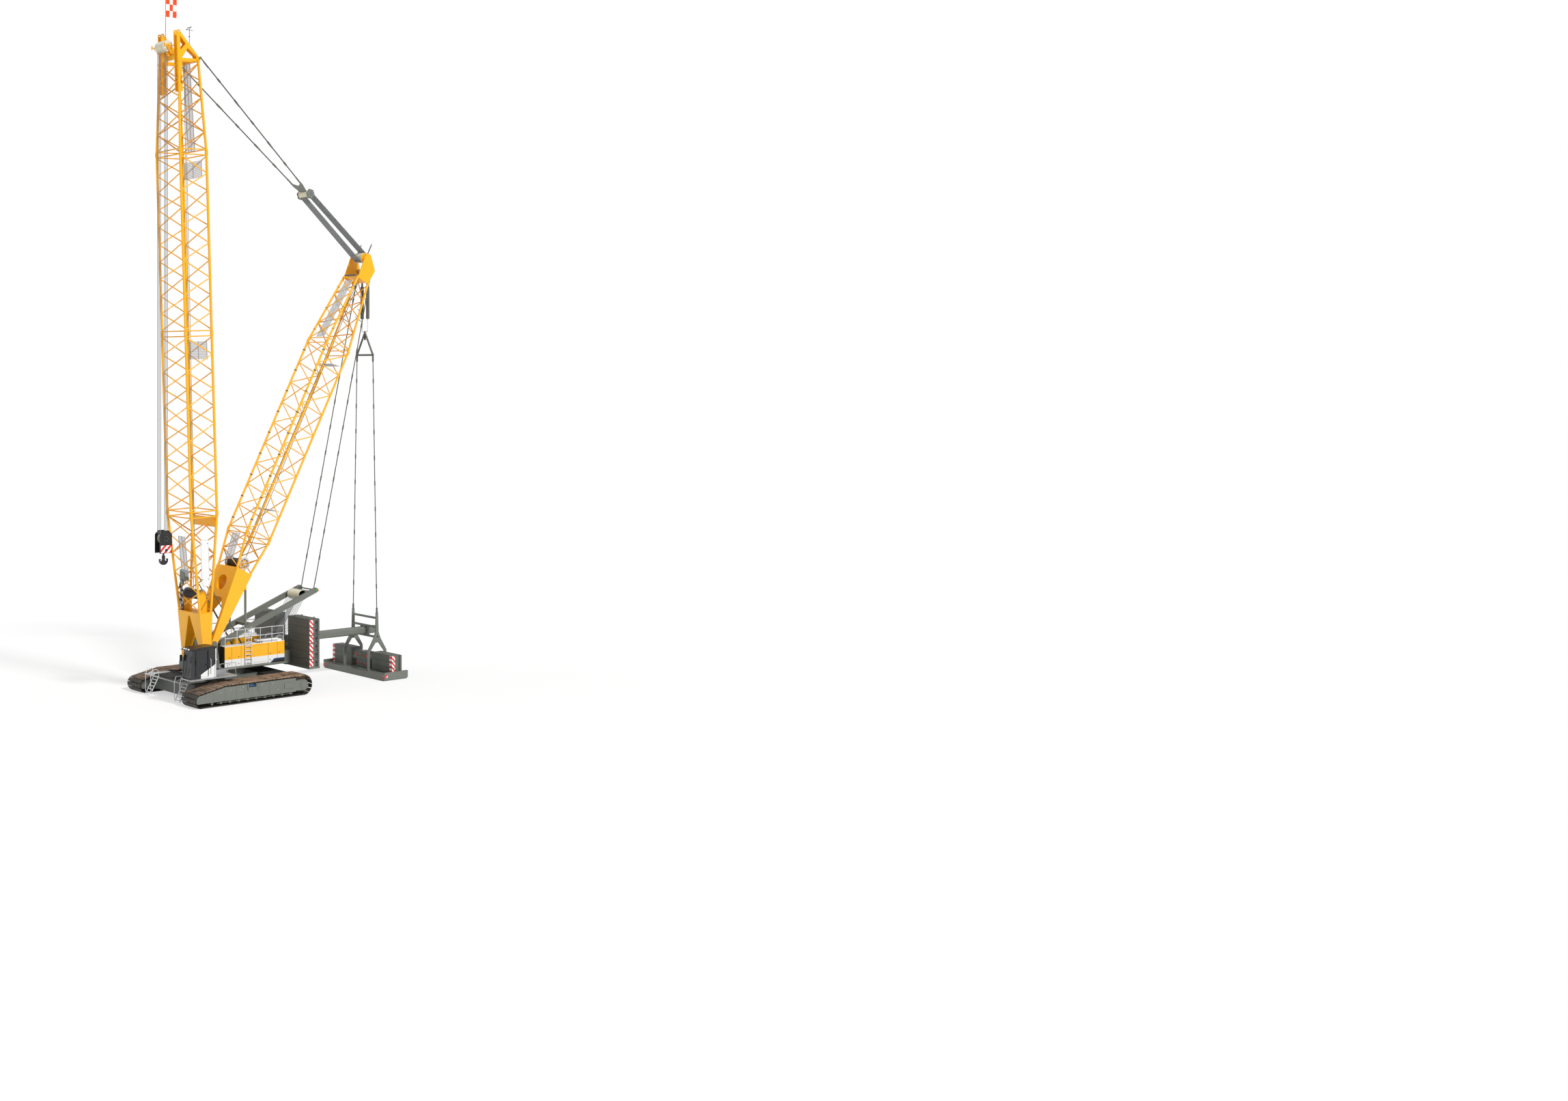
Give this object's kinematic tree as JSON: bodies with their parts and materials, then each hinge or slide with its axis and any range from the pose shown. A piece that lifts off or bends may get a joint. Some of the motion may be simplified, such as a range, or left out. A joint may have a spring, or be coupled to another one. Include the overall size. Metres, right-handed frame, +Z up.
{
  "type": "lattice boom crawler crane with derrick, 1:2 scale model",
  "caption": "Crawler crane with a lattice main boom, a derrick mast with stays, a suspended ballast tray on a guide beam, a side cab and a double hook.",
  "frame": {"origin": "bottom centre of the whole crane at rest, on the ground", "axes": "+Z up, the boom leans towards -Y, the cab is on the +X side"},
  "size_m": [4.2, 9.3008, 23.2697],
  "materials": {
    "crane_yellow": "gloss enamel",
    "house_panels": "gloss enamel, with a yellow band",
    "machine_grey": "satin enamel",
    "weight_grey": "satin enamel",
    "ballast_frame": "satin enamel",
    "deck_dark": "grip coating",
    "track_steel": "worn steel",
    "cab_glass": "tinted",
    "cab_interior": "matt",
    "engine_block": "matt",
    "rail_steel": "galvanised",
    "rope_steel": "wire rope",
    "winch_steel": "machined",
    "sheave_cream": "matt",
    "hook_black": "satin enamel",
    "flag_cloth": "woven, red and white squares"
  },
  "bodies": {
    "undercarriage": {"track_left": "track_steel", "track_right": "track_steel", "crawler_frame_left": "machine_grey", "crawler_frame_right": "machine_grey", "track_wheels_left": "track_steel", "track_wheels_right": "track_steel", "car_body": "machine_grey", "car_body_weights": "weight_grey", "car_body_decks": "deck_dark"},
    "upper": {"turntable": "machine_grey", "machine_house_left": "house_panels", "machine_house_right": "house_panels", "engine": "engine_block", "house_rails": "rail_steel", "counterweight_left": "weight_grey", "counterweight_right": "weight_grey", "cab_shell": "house_panels", "cab_glass": "cab_glass", "cab_seat": "cab_interior", "cab_platform": "deck_dark", "boom_backstops": "machine_grey"},
    "cab_door": {"cab_door": "house_panels", "cab_door_glass": "cab_glass"},
    "house_door_left": {"house_door_left": "house_panels"},
    "house_door_right": {"house_door_right": "house_panels"},
    "rear_winch": {"rear_winch_drum": "winch_steel"},
    "a_frame": {"a_frame": "machine_grey", "a_frame_ropes": "rope_steel"},
    "guide_beam": {"guide_beam": "machine_grey"},
    "derrick": {"derrick_foot": "crane_yellow", "derrick_middle": "crane_yellow", "derrick_head": "crane_yellow", "derrick_stays": "rope_steel"},
    "derrick_winch": {"derrick_winch_drum": "winch_steel"},
    "ballast": {"ballast_pendants": "ballast_frame", "ballast_carriage": "ballast_frame", "ballast_tray": "ballast_frame", "ballast_slabs": "weight_grey"},
    "tackle": {"tackle_ropes": "rope_steel"},
    "boom_stays": {"boom_stays": "rope_steel"},
    "boom": {"boom_foot": "crane_yellow", "boom_section_1": "crane_yellow", "boom_section_2": "crane_yellow", "boom_head": "crane_yellow", "head_mast": "rail_steel", "flag": "flag_cloth"},
    "boom_winch": {"boom_winch_drum": "winch_steel"},
    "head_sheaves": {"head_sheaves": "sheave_cream"},
    "hoist_fall": {"hoist_ropes_upper": "rope_steel"},
    "hoist_follow": {"hoist_ropes_lower": "rope_steel"},
    "hook_block": {"hook_block": "hook_black"},
    "hook": {"hook": "hook_black"}
  },
  "joints": [
    {"name": "slew", "type": "hinge", "parent": "undercarriage", "child": "upper", "pos_m": [0, -2.1913, 0.75], "axis": [0, 0, 1], "continuous": true},
    {"name": "cab_door_hinge", "type": "hinge", "parent": "upper", "child": "cab_door", "pos_m": [1.6, -3.6713, 1.35], "axis": [0, 0, 1], "range_deg": [0, 75]},
    {"name": "house_door_left_hinge", "type": "hinge", "parent": "upper", "child": "house_door_left", "pos_m": [0.9, -0.7913, 1.33], "axis": [0, 0, 1], "range_deg": [0, 110]},
    {"name": "house_door_right_hinge", "type": "hinge", "parent": "upper", "child": "house_door_right", "pos_m": [-0.9, -0.7913, 1.33], "axis": [0, 0, -1], "range_deg": [0, 110]},
    {"name": "rear_winch_turn", "type": "hinge", "parent": "upper", "child": "rear_winch", "pos_m": [0, 0.1087, 1.56], "axis": [1, 0, 0], "continuous": true},
    {"name": "a_frame_luff", "type": "hinge", "parent": "upper", "child": "a_frame", "pos_m": [0, -2.4163, 1.77], "axis": [1, 0, 0], "range_deg": [0, 2.25]},
    {"name": "guide_beam_lift", "type": "hinge", "parent": "upper", "child": "guide_beam", "pos_m": [0, 0.7687, 1.55], "axis": [1, 0, 0], "range_deg": [0, 4.7]},
    {"name": "derrick_luff", "type": "hinge", "parent": "upper", "child": "derrick", "pos_m": [0, -2.8063, 1.778], "axis": [1, 0, 0], "range_deg": [0, 2]},
    {"name": "derrick_winch_turn", "type": "hinge", "parent": "derrick", "child": "derrick_winch", "pos_m": [0, -1.45625, 4.33102], "axis": [1, 0, 0], "continuous": true},
    {"name": "ballast_swing", "type": "hinge", "parent": "derrick", "child": "ballast", "pos_m": [0, 4.1254, 14.45846], "axis": [1, 0, 0], "range_deg": [-2.05, 0.05]},
    {"name": "tackle_swing", "type": "hinge", "parent": "derrick", "child": "tackle", "pos_m": [0, 3.93798, 14.91051], "axis": [1, 0, 0], "range_deg": [0, 50]},
    {"name": "boom_stay_pull", "type": "slide", "parent": "tackle", "child": "boom_stays", "axis": [0, -0.7565, 0.654], "range_m": [0, 15.15]},
    {"name": "boom_luff", "type": "hinge", "parent": "derrick", "child": "boom", "pos_m": [0, -3.1113, 1.25], "axis": [1, 0, 0], "range_deg": [0, 60]},
    {"name": "boom_winch_turn", "type": "hinge", "parent": "boom", "child": "boom_winch", "pos_m": [0, -3.18708, 3.39866], "axis": [1, 0, 0], "continuous": true},
    {"name": "head_sheave_turn", "type": "hinge", "parent": "boom", "child": "head_sheaves", "pos_m": [0, -4.4154, 21.59968], "axis": [1, 0, 0], "range_deg": [-2.05, 0.05]},
    {"name": "hoist_fall_swing", "type": "hinge", "parent": "head_sheaves", "child": "hoist_fall", "pos_m": [0, -4.4154, 21.59968], "axis": [1, 0, 0], "range_deg": [-60.5, 0.5]},
    {"name": "hoist_follow", "type": "slide", "parent": "hoist_fall", "child": "hoist_follow", "axis": [0, 0, 1], "range_m": [-0.01, 11.35], "deforming": ["hoist_ropes_upper"]},
    {"name": "hook_hoist", "type": "slide", "parent": "hoist_follow", "child": "hook_block", "axis": [0, 0, 1], "range_m": [-3.4, 3.5], "deforming": ["hoist_ropes_lower"]},
    {"name": "hook_turn", "type": "hinge", "parent": "hook_block", "child": "hook", "pos_m": [0, -4.4154, 4.8], "axis": [0, 0, 1], "continuous": true}
  ],
  "couplings": [
    {"joint": "a_frame_luff", "follows": "derrick_luff", "ratio": 1.1},
    {"joint": "guide_beam_lift", "follows": "derrick_luff", "ratio": 2.3},
    {"joint": "ballast_swing", "follows": "derrick_luff", "ratio": -1},
    {"joint": "head_sheave_turn", "follows": "derrick_luff", "ratio": -1},
    {"joint": "tackle_swing", "follows": "boom_luff", "ratio": 0.83158},
    {"joint": "boom_stay_pull", "follows": "boom_luff", "m_per_rad": 14.446},
    {"joint": "hoist_fall_swing", "follows": "boom_luff", "ratio": -1},
    {"joint": "hoist_follow", "follows": "boom_luff", "m_per_rad": 10.795}
  ]
}
